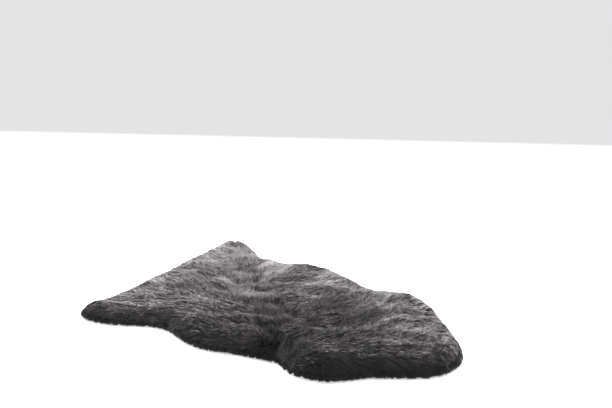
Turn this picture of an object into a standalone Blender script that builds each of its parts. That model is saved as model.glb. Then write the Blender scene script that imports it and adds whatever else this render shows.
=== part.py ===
"""Sheepskin rug: one hide with its long, dyed wool, lying flat on the floor.

The hide is out of sight under the wool, and the two are one natural piece, so
the rug is one solid. It is a lumpy slab with a level underside. Its rim is
broken up by tapered locks of wool: a lower row that hangs out over the floor
and rests level on it, and an upper row that lies over the edge like shingles.

+X runs from the end with the two leg points to the rounded end, +Y to the
rug's far side and +Z up. The origin is on the floor, under the middle of the
bounding box.
"""

import math
from collections import namedtuple

import bmesh
import bpy
import numpy as np
from mathutils import Matrix, Vector
from mathutils.geometry import interpolate_bezier

MM = 0.001
RUG_NAME = "sheepskin_rug"
NODE_NAME = "sheepskin"

# Wool, in mm
PILE_HEIGHT = 50.0  # top of the wool over the floor, where it lies even
NEAR_RUN = 100.0  # how far in from the rim the combed-down near side rises to its full height
FAR_RUN = 28.0  # the same on the far side, where the wool stands up
EDGE_ROUNDING = 0.75  # 1 rises like a sine from the rim, and less is fuller at the rim
RIM_HEIGHT = 15.0  # height at which the slab reaches out farthest
FARNESS_SCALE = 120.0  # distance over which the near side passes into the far side
FARNESS_START = -168.0  # y at which the far side begins, where x is 0
FARNESS_TURN = 0.376  # how much farther it begins for each mm of x, as the wool is combed slantwise
LOCK_REACH = 12.0  # from the slab's rim to the outline, which the lock tips reach
UNDERCUT = (  # the slab's rim below RIM_HEIGHT: how far in, and how high
    (5.0, 5.5),
    (13.0, 0.0),
)

# The outline that the wool reaches, seen from above, in mm
Spot = namedtuple("Spot", "x y")
POINTED_END = (
    Spot(-519, -362),  # near leg
    Spot(-504, -297),
    Spot(-499, -219),
    Spot(-505, -144),
    Spot(-516, -69),
    Spot(-527, -4),
    Spot(-543, 66),
    Spot(-553, 146),
    Spot(-567, 221),
    Spot(-582, 276),
)
FAR_SIDE = (
    Spot(-588, 328),  # far leg
    Spot(-558, 360),
    Spot(-501, 366),
    Spot(-443, 347),
    Spot(-384, 309),
    Spot(-313, 303),
    Spot(-263, 320),
    Spot(-207, 358),
    Spot(-135, 376),
    Spot(-53, 368),
    Spot(31, 357),
    Spot(111, 337),
    Spot(147, 358),
    Spot(193, 383),
    Spot(259, 384),
    Spot(326, 362),
    Spot(394, 314),
    Spot(486, 252),
    Spot(543, 199),
)
ROUNDED_END = (
    Spot(572, 149),  # far corner of the rounded end
    Spot(580, 94),
    Spot(569, 42),
    Spot(537, -4),
    Spot(479, -58),
    Spot(431, -104),
    Spot(397, -156),
    Spot(361, -196),
)
NEAR_SIDE = (
    Spot(316, -217),  # near lobe of the rounded end
    Spot(260, -226),
    Spot(213, -215),
    Spot(182, -206),
    Spot(120, -225),
    Spot(48, -253),
    Spot(-13, -281),
    Spot(-79, -294),
    Spot(-141, -288),
    Spot(-208, -276),
    Spot(-263, -290),
    Spot(-336, -343),
    Spot(-393, -376),
    Spot(-461, -392),
)

# Swells and hollows of the wool, in mm: middle, half length, half width, the
# turn of the length from +X in degrees, and the rise, which is less than 0 for
# a hollow
Swell = namedtuple("Swell", "x y length width turn rise")
SWELLS = (
    Swell(-431, -254, 90, 45, 70, -3),
    Swell(-330, -275, 80, 50, 10, -12),
    Swell(-271, 4, 95, 30, 5, 8),
    Swell(-251, -144, 85, 40, 20, 7),
    Swell(-471, 296, 60, 26, -20, -8),
    Swell(-391, 196, 90, 40, 60, 5),
    Swell(-173, 141, 45, 20, 75, 9),
    Swell(-151, 74, 34, 20, 20, -11),
    Swell(-91, 211, 30, 18, 40, -8),
    Swell(-181, 296, 65, 22, 20, -9),
    Swell(-61, 126, 70, 35, 60, 5),
    Swell(19, 281, 85, 22, 8, -10),
    Swell(59, 228, 100, 20, 24, 8),
    Swell(59, 161, 70, 35, 25, -6),
    Swell(-121, -144, 50, 34, 40, -7),
    Swell(-11, -124, 60, 30, 30, 7),
    Swell(119, -64, 90, 26, 12, 6),
    Swell(189, 6, 60, 32, 50, -8),
    Swell(164, 86, 60, 24, 35, 6),
    Swell(249, 126, 60, 24, 80, -7),
    Swell(309, 101, 85, 20, 84, 9),
    Swell(364, 58, 60, 20, 60, -4),
    Swell(424, 128, 55, 24, 15, 9),
    Swell(249, -49, 50, 30, 20, 2),
    Swell(179, -154, 60, 18, 70, -8),
    Swell(319, -124, 80, 45, 35, 8),
    Swell(214, 316, 70, 35, 20, 6),
    Swell(479, 56, 40, 34, 40, -6),
)

# Gentle waves all over the top: length and direction of the wave, rise, phase
Wave = namedtuple("Wave", "length turn rise phase")
WAVES = (
    Wave(118, 35, 1.6, 0.4),
    Wave(83, -50, 1.3, 2.1),
    Wave(64, 80, 1.0, 4.0),
)

# The grid of the top, in mm
RIM_STEPS = (9.0, 16.0, 24.0)  # first steps in from the rim
EVEN_STEP = 28.0

# Rows of wool locks round the rim. In mm: how far in from the rim a lock is
# rooted and how high, and the lowest height of its tip. Its width, its reach
# past the rim and its swing to either side, in degrees, are drawn between two
# limits.
Row = namedtuple("Row", "count seed root_in root_z tip_z width reach swing")
LOCK_ROWS = (
    Row(116, 14, 13.0, 12.0, 0.0, (12.0, 18.0), (7.0, 17.0), (-13.0, 13.0)),
    Row(94, 25, 30.0, 20.0, 13.0, (13.0, 19.0), (2.0, 11.0), (-18.0, 18.0)),
)
# Along a lock: share of the way out, of the drop and of the width
Station = namedtuple("Station", "out drop width")
LOCK_STATIONS = (
    Station(0.0, 0.0, 0.8),
    Station(0.55, 0.65, 1.0),
    Station(1.0, 1.0, 0.22),
)

WOOL_COLOUR = (0.105, 0.098, 0.103, 1.0)
WOOL_ROUGHNESS = 0.92
SHARP_TURN = 50.0  # degrees between faces, over which an edge is shaded sharp


def clear_scene():
    """Removes whatever the scene starts with."""
    for item in list(bpy.data.objects):
        bpy.data.objects.remove(item)


def new_collection(name):
    """A collection linked to the scene."""
    made = bpy.data.collections.new(name)
    bpy.context.scene.collection.children.link(made)
    return made


def wool_material():
    """Matt, dyed charcoal wool."""
    made = bpy.data.materials.new("dyed_wool")
    made.use_nodes = True
    shader = made.node_tree.nodes["Principled BSDF"]
    shader.inputs["Base Color"].default_value = WOOL_COLOUR
    shader.inputs["Roughness"].default_value = WOOL_ROUGHNESS
    shader.inputs["Metallic"].default_value = 0.0
    return made


def smooth_loop(spots, points_each=12):
    """Points, in mm, along a closed smooth curve through the spots, and where each spot is in them."""
    knots = [Vector((spot.x, spot.y, 0.0)) for spot in spots]
    count = len(knots)
    points = []
    for i, knot in enumerate(knots):
        before = knots[i - 1]
        after = knots[(i + 1) % count]
        beyond = knots[(i + 2) % count]
        reach = (after - knot).length / 3
        leave = knot + (after - before).normalized() * reach
        arrive = after - (beyond - knot).normalized() * reach
        points += interpolate_bezier(knot, leave, arrive, after, points_each + 1)[:-1]
    return np.array([(point.x, point.y) for point in points]), [i * points_each for i in range(count)]


def outward(loop):
    """Unit vectors that point out of a closed loop of points that runs clockwise."""
    along = np.roll(loop, -1, axis=0) - np.roll(loop, 1, axis=0)
    across = np.stack([-along[:, 1], along[:, 0]], axis=1)
    return across / np.linalg.norm(across, axis=1, keepdims=True)


def shrunk(loop, distance):
    """A closed clockwise loop moved inwards, its turns evened out so that none folds over."""
    moved = loop - outward(loop) * distance
    for _ in range(3):
        moved = (np.roll(moved, 1, axis=0) + 2 * moved + np.roll(moved, -1, axis=0)) / 4
    return moved


def lengths_along(path):
    """The distance from the start of an open path to each of its points."""
    steps = np.linalg.norm(np.diff(path, axis=0), axis=1)
    return np.concatenate([[0.0], np.cumsum(steps)])


def points_at(path, shares):
    """The points at the given shares of an open path's length."""
    lengths = lengths_along(path)
    wanted = np.asarray(shares) * lengths[-1]
    return np.stack([np.interp(wanted, lengths, path[:, axis]) for axis in (0, 1)], axis=1)


def grid_shares(length):
    """Shares of a side's length at which the grid's lines leave it, closer together near the rim."""
    near = np.cumsum(RIM_STEPS)
    middle = length - 2 * near[-1]
    count = max(round(middle / EVEN_STEP), 1)
    even = near[-1] + middle * np.arange(1, count) / count
    marks = np.concatenate([[0.0], near, even, length - near[::-1], [length]])
    return marks / length


def distance_to(loop, points):
    """How far each point is from a closed loop's line."""
    ends = np.roll(loop, -1, axis=0)
    line = ends - loop
    size = (line**2).sum(axis=1)
    offset = points[:, None] - loop[None]
    share = ((offset * line[None]).sum(axis=2) / size).clip(0, 1)
    nearest = loop[None] + share[:, :, None] * line[None]
    return np.linalg.norm(points[:, None] - nearest, axis=2).min(axis=1)


def lumps(points):
    """The rise of the swells, hollows and waves at each point, in mm."""
    x, y = points.T
    rise = np.zeros(len(points))
    for swell in SWELLS:
        turn = math.radians(swell.turn)
        along = (x - swell.x) * math.cos(turn) + (y - swell.y) * math.sin(turn)
        across = (y - swell.y) * math.cos(turn) - (x - swell.x) * math.sin(turn)
        rise += swell.rise * np.exp(-((along / swell.length) ** 2) - (across / swell.width) ** 2)
    for wave in WAVES:
        turn = math.radians(wave.turn)
        along = x * math.cos(turn) + y * math.sin(turn)
        rise += wave.rise * np.sin(2 * math.pi * along / wave.length + wave.phase)
    return rise


def edge_run(points):
    """How far in the edge is rounded, in mm, passing smoothly from the near side to the far side."""
    x, y = points.T
    farness = np.tanh((y - FARNESS_TURN * x - FARNESS_START) / FARNESS_SCALE)
    return (NEAR_RUN + FAR_RUN) / 2 + (FAR_RUN - NEAR_RUN) / 2 * farness


def wool_top(points, rim):
    """The height of the slab's top at each point, in mm: a rounded edge, then the pile with its lumps."""
    inside = (distance_to(rim, points) / edge_run(points)).clip(0, 1)
    rounded = np.sin(inside * math.pi / 2) ** EDGE_ROUNDING
    return RIM_HEIGHT + (PILE_HEIGHT - RIM_HEIGHT + lumps(points)) * rounded


def rim_sides():
    """The slab's rim as four open paths that share their ends, clockwise from the near leg."""
    spots = POINTED_END + FAR_SIDE + ROUNDED_END + NEAR_SIDE
    outline, places = smooth_loop(spots)
    rim = shrunk(outline, LOCK_REACH)
    counts = np.cumsum([0, len(POINTED_END), len(FAR_SIDE), len(ROUNDED_END)])
    corners = [places[i] for i in counts] + [len(rim)]
    closed = np.concatenate([rim, rim[:1]])
    return rim, [closed[start : end + 1] for start, end in zip(corners[:-1], corners[1:])]


def blend_across(sides):
    """A grid of points that fills four sides, each inner point drawn evenly from all four."""
    pointed, far, rounded, near = sides
    long_shares = grid_shares((lengths_along(far)[-1] + lengths_along(near)[-1]) / 2)
    short_shares = grid_shares((lengths_along(pointed)[-1] + lengths_along(rounded)[-1]) / 2)
    top = points_at(far, long_shares)
    bottom = points_at(near[::-1], long_shares)
    left = points_at(pointed, short_shares)
    right = points_at(rounded[::-1], short_shares)
    u = long_shares[None, :, None]
    v = short_shares[:, None, None]
    ruled = (1 - v) * bottom[None] + v * top[None] + (1 - u) * left[:, None] + u * right[:, None]
    twice = (1 - u) * (1 - v) * bottom[0] + u * (1 - v) * bottom[-1] + (1 - u) * v * top[0] + u * v * top[-1]
    return ruled - twice


def make_slab(collection):
    """The lumpy slab: a grid bent to the rim, its edge drawn down and under, and a level base."""
    rim, sides = rim_sides()
    plan = blend_across(sides)
    rows, columns = plan.shape[:2]
    flat = plan.reshape(-1, 2)
    height = wool_top(flat, rim)
    form = bmesh.new()
    bmesh.ops.create_grid(form, x_segments=columns - 1, y_segments=rows - 1, size=1.0)
    form.verts.ensure_lookup_table()
    for vert, (x, y), z in zip(form.verts, flat, height):
        vert.co = (x * MM, y * MM, z * MM)
    edge = [e for e in form.edges if e.is_boundary]
    for how_far_in, how_high in UNDERCUT:
        grown = bmesh.ops.extrude_edge_only(form, edges=edge)["geom"]
        edge = [e for e in grown if isinstance(e, bmesh.types.BMEdge) and e.is_boundary]
        lower = [v for v in grown if isinstance(v, bmesh.types.BMVert)]
        at = np.array([(v.co.x, v.co.y) for v in lower]) / MM
        nearest = ((at[:, None] - rim[None]) ** 2).sum(axis=2).argmin(axis=1)
        moved = shrunk(rim, how_far_in)[nearest]
        for vert, (x, y) in zip(lower, moved):
            vert.co = (x * MM, y * MM, how_high * MM)
    bmesh.ops.contextual_create(form, geom=edge)
    bmesh.ops.recalc_face_normals(form, faces=form.faces)
    mesh = bpy.data.meshes.new(NODE_NAME)
    form.to_mesh(mesh)
    form.free()
    mesh.shade_smooth()
    mesh.set_sharp_from_angle(angle=math.radians(SHARP_TURN))
    slab = bpy.data.objects.new(NODE_NAME, mesh)
    collection.objects.link(slab)
    return slab, rim


def lock_path(foot, way, length, width, row):
    """The middle line of a lock, in mm, with its half width at each point."""
    path = []
    for station in LOCK_STATIONS:
        half = width * station.width / 2
        spot = foot + way * length * station.out
        fall = row.tip_z + half - row.root_z
        path.append((spot.x, spot.y, row.root_z + fall * station.drop, half))
    return path


def row_of_paths(row, rim):
    """The middle lines of one row of locks, evenly spaced round the rim and each pointing out."""
    chance = np.random.default_rng(row.seed)
    closed = np.concatenate([rim, rim[:1]])
    shares = (np.arange(row.count) + chance.uniform(0.3, 0.7, row.count)) / row.count
    along = points_at(closed, (shares + 0.003) % 1) - points_at(closed, (shares - 0.003) % 1)
    paths = []
    for (x, y), (along_x, along_y) in zip(points_at(closed, shares), along):
        out = Vector((-along_y, along_x)).normalized()
        way = Matrix.Rotation(math.radians(chance.uniform(*row.swing)), 2) @ out
        length = row.root_in + chance.uniform(*row.reach)
        foot = Vector((x, y)) - out * row.root_in
        paths.append(lock_path(foot, way, length, chance.uniform(*row.width), row))
    return paths


def tubes_mesh(paths):
    """One mesh of closed, tapered tubes of four sides, set flat, along the paths."""
    curve = bpy.data.curves.new("tubes", "CURVE")
    curve.dimensions = "3D"
    curve.twist_mode = "Z_UP"
    curve.bevel_depth = MM
    curve.bevel_resolution = 0
    curve.use_fill_caps = True
    for path in paths:
        spline = curve.splines.new("POLY")
        spline.points.add(len(path) - 1)
        for point, (x, y, z, half) in zip(spline.points, path):
            point.co = (x * MM, y * MM, z * MM, 1.0)
            point.radius = half * math.sqrt(2)  # from the middle of a square to its corner
            point.tilt = math.radians(45)
    tubes = bpy.data.objects.new("tubes", curve)
    bpy.context.scene.collection.objects.link(tubes)
    evaluated = tubes.evaluated_get(bpy.context.evaluated_depsgraph_get())
    mesh = bpy.data.meshes.new_from_object(evaluated)
    bpy.data.objects.remove(tubes)
    return mesh


def make_locks(rim, collection):
    """All the locks as one cutter. Those that reach the floor rest level on it."""
    mesh = tubes_mesh([path for row in LOCK_ROWS for path in row_of_paths(row, rim)])
    form = bmesh.new()
    form.from_mesh(mesh)
    bmesh.ops.remove_doubles(form, verts=form.verts, dist=0.01 * MM)
    for vert in form.verts:
        vert.co.z = max(vert.co.z, 0.0)
    bmesh.ops.recalc_face_normals(form, faces=form.faces)
    form.to_mesh(mesh)
    form.free()
    locks = bpy.data.objects.new("locks", mesh)
    locks.hide_render = True
    locks.display_type = "WIRE"
    collection.objects.link(locks)
    return locks


def join_on(body, added):
    """Makes one solid of a body and what grows out of it."""
    joined = body.modifiers.new(added.name, "BOOLEAN")
    joined.operation = "UNION"
    joined.solver = "EXACT"
    joined.use_self = True  # neighbouring roots meet inside the slab
    joined.object = added


clear_scene()
parts = new_collection(RUG_NAME)
cutters = new_collection("cutters")
slab, rim = make_slab(parts)
slab.data.materials.append(wool_material())
join_on(slab, make_locks(rim, cutters))
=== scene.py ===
# %% [markdown]
# # A sheepskin rug, laid on a floor
#
# A sheepskin is one hide, tanned with its wool still on it. The wool isn't a
# texture on a slab: it is a deep mass of fibres that cling together in small
# tufts, the tufts in locks, and the locks in broad swells that follow how the
# skin was combed and handled. This lesson builds it in that order, from the
# hide up, and every shape is worked out with whole numpy arrays.
#
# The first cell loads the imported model. It is the frame that all else sits in,
# in metres, with +X along the hide and +Z out of the wool.

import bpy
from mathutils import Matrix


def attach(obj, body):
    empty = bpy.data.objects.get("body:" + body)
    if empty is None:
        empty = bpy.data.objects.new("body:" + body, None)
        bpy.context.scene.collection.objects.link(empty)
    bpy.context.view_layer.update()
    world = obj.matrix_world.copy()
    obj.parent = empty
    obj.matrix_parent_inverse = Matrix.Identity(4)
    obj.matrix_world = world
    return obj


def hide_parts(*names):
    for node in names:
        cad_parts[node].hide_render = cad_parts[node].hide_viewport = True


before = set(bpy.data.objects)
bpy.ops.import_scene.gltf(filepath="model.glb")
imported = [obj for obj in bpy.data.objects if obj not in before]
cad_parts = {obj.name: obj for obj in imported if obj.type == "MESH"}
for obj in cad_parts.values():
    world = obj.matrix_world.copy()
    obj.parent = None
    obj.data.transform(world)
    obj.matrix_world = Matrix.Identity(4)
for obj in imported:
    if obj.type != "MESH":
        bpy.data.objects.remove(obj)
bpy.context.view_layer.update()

# %% Tools for the rest of the lesson
import math

import bpy
import numpy as np
from mathutils import Vector

MM = 0.001
scene = bpy.context.scene

# %% [markdown]
# ## The camera
#
# The camera comes first, so that each piece can be judged from the view that
# matters. It stands about 1.4 m over the floor, near one corner of the rug,
# and looks down a little over 18 degrees through a longish lens, so that the
# deep wool is seen partly from its side.

# %% Place the camera
camera = bpy.data.objects.new("camera", bpy.data.cameras.new("camera"))
camera.data.sensor_width = 36.0
camera.data.lens = 62.88
camera.location = (2.0897, -2.1459, 1.380)
camera.rotation_euler = (math.radians(71.64), 0.0, math.radians(42.7))
scene.collection.objects.link(camera)
scene.camera = camera
scene.view_settings.view_transform = "Standard"
print("camera looks down by", round(90 - math.degrees(camera.rotation_euler.x), 1), "degrees")

# %% [markdown]
# ## The hide's outline
#
# A hide is cut along the animal's own outline: two pointed legs at one end, a
# waist on each flank, and a rounded, lobed end. A few dozen spots round it are
# enough, given in real sizes, and a smooth curve runs through them. The same
# spots are in the part's source, so that the wool grows where its solid is.
# They were picked by eye on a flattened copy of the photo and worked out in mm
# by a helper script, and most of them were then moved by hand.

# %% Spots round the outline, in mm
OUTLINE_SPOTS = np.array([
    # the end with the two legs, from the near leg to the far one
    (-519, -362), (-504, -297), (-499, -219), (-505, -144), (-516, -69),
    (-527, -4), (-543, 66), (-553, 146), (-567, 221), (-582, 276),
    # the far flank
    (-588, 328), (-558, 360), (-501, 366), (-443, 347), (-384, 309),
    (-313, 303), (-263, 320), (-207, 358), (-135, 376), (-53, 368),
    (31, 357), (111, 337), (147, 358), (193, 383), (259, 384),
    (326, 362), (394, 314), (486, 252), (543, 199),
    # the rounded end
    (572, 149), (580, 94), (569, 42), (537, -4), (479, -58),
    (431, -104), (397, -156), (361, -196),
    # the near flank, from its lobe back to the near leg
    (316, -217), (260, -226), (213, -215), (182, -206), (120, -225),
    (48, -253), (-13, -281), (-79, -294), (-141, -288), (-208, -276),
    (-263, -290), (-336, -343), (-393, -376), (-461, -392),
]) * MM


def unit(vectors):
    """Each vector divided by its own length."""
    return vectors / np.maximum(np.linalg.norm(vectors, axis=-1, keepdims=True), 1e-12)


def smooth_loop(spots, each=12):
    """A closed curve through the spots.

    From one spot to the next it is a cubic Bezier, whose two handles are a third
    of the gap long and point along the line between the neighbours of their spot.
    """
    before, after, beyond = (np.roll(spots, by, axis=0) for by in (1, -1, -2))
    reach = np.linalg.norm(after - spots, axis=1, keepdims=True) / 3
    leave = spots + unit(after - before) * reach
    arrive = after - unit(beyond - spots) * reach
    t = np.linspace(0, 1, each, endpoint=False)[None, :, None]
    knots = [p[:, None] for p in (spots, leave, arrive, after)]
    weights = ((1 - t) ** 3, 3 * (1 - t) ** 2 * t, 3 * (1 - t) * t**2, t**3)
    return sum(weight * knot for weight, knot in zip(weights, knots)).reshape(-1, 2)


def outward(loop):
    """Unit vectors out of a clockwise loop: the line between neighbours, turned a quarter to the left."""
    along = np.roll(loop, -1, axis=0) - np.roll(loop, 1, axis=0)
    return unit(np.stack([-along[:, 1], along[:, 0]], axis=1))


def shrunk(loop, distance):
    """The loop moved inwards along its normals, its turns evened out by three passes of weights 1, 2, 1."""
    moved = loop - outward(loop) * distance
    for _ in range(3):
        moved = (np.roll(moved, 1, axis=0) + 2 * moved + np.roll(moved, -1, axis=0)) / 4
    return moved


LOCK_REACH = 12 * MM  # how far the locks hang out past the body of the wool
outline = smooth_loop(OUTLINE_SPOTS)
rim = shrunk(outline, LOCK_REACH)
print("points round the outline:", len(outline))

# %% [markdown]
# ## A chart of the hide
#
# Hundreds of thousands of fibres will ask the same questions of their place on
# the hide: how far is the rim, how deep is the wool, which way is it combed? So
# each answer is charted once on a grid of 3 mm squares, and a fibre reads it off
# between the corners of its square.

# %% The chart's grid, and how far each place lies from the rim
CHART_STEP = 3 * MM
chart_x = np.arange(-0.645, 0.6451, CHART_STEP)
chart_y = np.arange(-0.45, 0.4501, CHART_STEP)
grid_x, grid_y = np.meshgrid(chart_x, chart_y)


def depth_inside(loop, x, y):
    """How far each place is inside a closed clockwise loop, and less than 0 outside it.

    It is the distance to the nearest point of the loop's sides, with the sign of
    that side's inward normal.
    """
    start, side = loop, np.roll(loop, -1, axis=0) - loop
    inwards = -unit(np.stack([-side[:, 1], side[:, 0]], axis=1))
    size = (side**2).sum(axis=1)
    found = []
    for part in np.array_split(np.stack([x.ravel(), y.ravel()], axis=1), 60):
        dx = part[:, :1] - start[:, 0]
        dy = part[:, 1:] - start[:, 1]
        share = ((dx * side[:, 0] + dy * side[:, 1]) / size).clip(0, 1)
        dx -= share * side[:, 0]
        dy -= share * side[:, 1]
        square = dx * dx + dy * dy
        k = square.argmin(axis=1)
        row = np.arange(len(part))
        within = dx[row, k] * inwards[k, 0] + dy[row, k] * inwards[k, 1]
        found.append(np.sqrt(square[row, k]) * np.sign(within))
    return np.concatenate(found).reshape(x.shape)


def read(field, x, y):
    """A charted field at any place: the corners of its square, each weighted by how near it is."""
    i = (x - chart_x[0]) / CHART_STEP
    j = (y - chart_y[0]) / CHART_STEP
    i0 = np.floor(i).astype(int).clip(0, len(chart_x) - 2)
    j0 = np.floor(j).astype(int).clip(0, len(chart_y) - 2)
    i, j = (i - i0).clip(0, 1), (j - j0).clip(0, 1)
    lower = field[j0, i0] * (1 - i) + field[j0, i0 + 1] * i
    upper = field[j0 + 1, i0] * (1 - i) + field[j0 + 1, i0 + 1] * i
    return lower * (1 - j) + upper * j


inside = depth_inside(rim, grid_x, grid_y)
slope_y, slope_x = np.gradient(inside, CHART_STEP)
steep = np.maximum(np.hypot(slope_x, slope_y), 0.2)
out_x, out_y = -slope_x / steep, -slope_y / steep
hide_area = (inside > 0).sum() * CHART_STEP**2
print("area within the rim: %.3f square metres" % hide_area)

# %% [markdown]
# ## The lie of the wool: swells, hollows and the rounded rim
#
# The wool of a used sheepskin never lies level. Where it was pressed it has
# hollows, where it was brushed up it has crests. Each is a soft bump: a bell
# curve with its own length, width, turn and rise. The near side is combed down
# and rises slowly from the rim, and the far side stands up. The bumps' places
# were picked like the outline's spots, and their other numbers were chosen.

# %% The broad relief, the same as the solid's
PILE_HEIGHT, RIM_HEIGHT = 50 * MM, 15 * MM
NEAR_RUN, FAR_RUN = 100 * MM, 28 * MM
EDGE_ROUNDING = 0.75  # 1 rises like a sine from the rim, and less is fuller at the rim
FARNESS_TURN = 0.376  # how much farther out the far side begins for each metre of x
FARNESS_START, FARNESS_SCALE = -0.168, 0.120  # y where it begins at x = 0, and over what distance
SWELLS = (  # middle x, y, half length, half width in mm, turn in degrees, rise in mm
    (-431, -254, 90, 45, 70, -3), (-271, 4, 95, 30, 5, 8), (-251, -144, 85, 40, 20, 7),
    (-471, 296, 60, 26, -20, -8), (-391, 196, 90, 40, 60, 5), (-173, 141, 45, 20, 75, 9),
    (-151, 74, 34, 20, 20, -11), (-91, 211, 30, 18, 40, -8), (-181, 296, 65, 22, 20, -9),
    (-61, 126, 70, 35, 60, 5), (19, 281, 85, 22, 8, -10), (59, 228, 100, 20, 24, 8),
    (59, 161, 70, 35, 25, -6), (-121, -144, 50, 34, 40, -7), (-11, -124, 60, 30, 30, 7),
    (119, -64, 90, 26, 12, 6), (189, 6, 60, 32, 50, -8), (164, 86, 60, 24, 35, 6),
    (249, 126, 60, 24, 80, -7), (309, 101, 85, 20, 84, 9), (364, 58, 60, 20, 60, -4),
    (424, 128, 55, 24, 15, 9), (249, -49, 50, 30, 20, 2), (179, -154, 60, 18, 70, -8),
    (319, -124, 80, 45, 35, 8), (214, 316, 70, 35, 20, 6), (479, 56, 40, 34, 40, -6),
    (-330, -275, 80, 50, 10, -12),
)
WAVES = ((118, 35, 1.6, 0.4), (83, -50, 1.3, 2.1), (64, 80, 1.0, 4.0))  # length, turn, rise, phase


def turned(x, y, degrees):
    """x and y read along axes that are turned by so many degrees."""
    c, s = math.cos(math.radians(degrees)), math.sin(math.radians(degrees))
    return x * c + y * s, y * c - x * s


def relief(x, y):
    """Bell curves and sines added up, in metres.

    A swell adds rise * exp(-(along / length)^2 - (across / width)^2), and a wave
    adds rise * sin(turns along the wave + phase).
    """
    rise = np.zeros_like(x)
    for mid_x, mid_y, length, width, turn, height in SWELLS:
        along, across = turned(x / MM - mid_x, y / MM - mid_y, turn)
        rise += height * np.exp(-((along / length) ** 2) - (across / width) ** 2)
    for length, turn, height, phase in WAVES:
        rise += height * np.sin(2 * math.pi * turned(x, y, turn)[0] / MM / length + phase)
    return rise * MM


farness = np.tanh((grid_y - FARNESS_TURN * grid_x - FARNESS_START) / FARNESS_SCALE)
edge_run = (NEAR_RUN + FAR_RUN) / 2 + (FAR_RUN - NEAR_RUN) / 2 * farness
share_in = (inside / edge_run).clip(0, 1)
rounded = np.sin(share_in * math.pi / 2) ** EDGE_ROUNDING
wool_top = RIM_HEIGHT + (PILE_HEIGHT - RIM_HEIGHT + relief(grid_x, grid_y)) * rounded
lowest, highest = wool_top[inside > 0].min() / MM, wool_top.max() / MM
print("wool stands %.0f to %.0f mm over the floor inside the rim" % (lowest, highest))

# %% [markdown]
# ## Chance that hangs together
#
# Real wool is uneven at every size: neighbouring fibres lean alike, and a hand's
# width away they lean differently. Plain random numbers have no such
# neighbourhood. So random values are set at the corners of squares, and blended
# in between. The size of the squares is the size of the patches.

# %% Smooth chance, and points scattered one to a square
CHANCES = 97  # corners along each side of the table of chances, which repeats beyond them
FIRST_CHANCE = 40  # which corner lies at x = 0 and y = 0
FIELD_X, FIELD_Y = 0.65, 0.46  # how far scattered points reach to each side of the middle, in m


def drift(x, y, size, seed):
    """Even chance from -1 to 1: random corners of squares, blended with the s-curve 3t^2 - 2t^3.

    size is a square's side, or its sides along x and y.
    """
    table = np.random.default_rng(seed).uniform(-1, 1, (CHANCES, CHANCES))
    wide, deep = np.broadcast_to(size, 2)
    i, j = x / wide + FIRST_CHANCE, y / deep + FIRST_CHANCE
    i0, j0 = np.floor(i).astype(int), np.floor(j).astype(int)
    i, j = i - i0, j - j0
    i, j = i * i * (3 - 2 * i), j * j * (3 - 2 * j)
    i0, j0, i1, j1 = (corner % CHANCES for corner in (i0, j0, i0 + 1, j0 + 1))
    lower = table[j0, i0] * (1 - i) + table[j0, i1] * i
    upper = table[j1, i0] * (1 - i) + table[j1, i1] * i
    return lower * (1 - j) + upper * j


class Scatter:
    """One point in each square of a grid over the rug, moved at random inside it, with four chances."""

    def __init__(self, size, seed):
        chance = np.random.default_rng(seed)
        self.size = size
        self.columns, self.rows = int(2 * FIELD_X / size) + 1, int(2 * FIELD_Y / size) + 1
        i, j = np.meshgrid(np.arange(self.columns), np.arange(self.rows))
        self.x = (i + chance.uniform(0.08, 0.92, i.shape)) * size - FIELD_X
        self.y = (j + chance.uniform(0.08, 0.92, i.shape)) * size - FIELD_Y
        self.chances = chance.uniform(-1, 1, (4, *i.shape))

    def nearest(self, x, y):
        """Which point is nearest to each place, as row and column: the best of the nine squares round it."""
        i = ((x + FIELD_X) / self.size).astype(int).clip(1, self.columns - 2)
        j = ((y + FIELD_Y) / self.size).astype(int).clip(1, self.rows - 2)
        best, row, column = np.full(x.shape, np.inf), j, i
        for dj in (-1, 0, 1):
            for di in (-1, 0, 1):
                away = (self.x[j + dj, i + di] - x) ** 2 + (self.y[j + dj, i + di] - y) ** 2
                closer = away < best
                best = np.where(closer, away, best)
                row, column = np.where(closer, j + dj, row), np.where(closer, i + di, column)
        return row, column


LOCK_SIZE, TUFT_SIZE = 22 * MM, 4.2 * MM
locks = Scatter(LOCK_SIZE, seed=41)
tufts = Scatter(TUFT_SIZE, seed=42)
print("locks:", locks.x.size, "tufts:", tufts.x.size)

# %% [markdown]
# ## Which way the wool is combed
#
# Wool lies the way it was last brushed. Here it runs towards both ends of the
# hide from a parting across its middle, and near the rim it falls outwards.
# About sixty comb marks say which way it runs where, and how far it leans.
# Between them each place takes the mean of the marks, weighted by how near they
# are.
#
# These marks are data and not a design. Their places were picked on the photo,
# nearly on a grid, and the direction of the streaks there was measured. Helper
# scripts worked out the places in mm from that, and all headings but the last
# eight, rounded to 5 mm and 5 degrees. Only the leans, and the heading of the
# last eight, were chosen. A short rule for how the wool flows from its parting
# would be better code.

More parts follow.
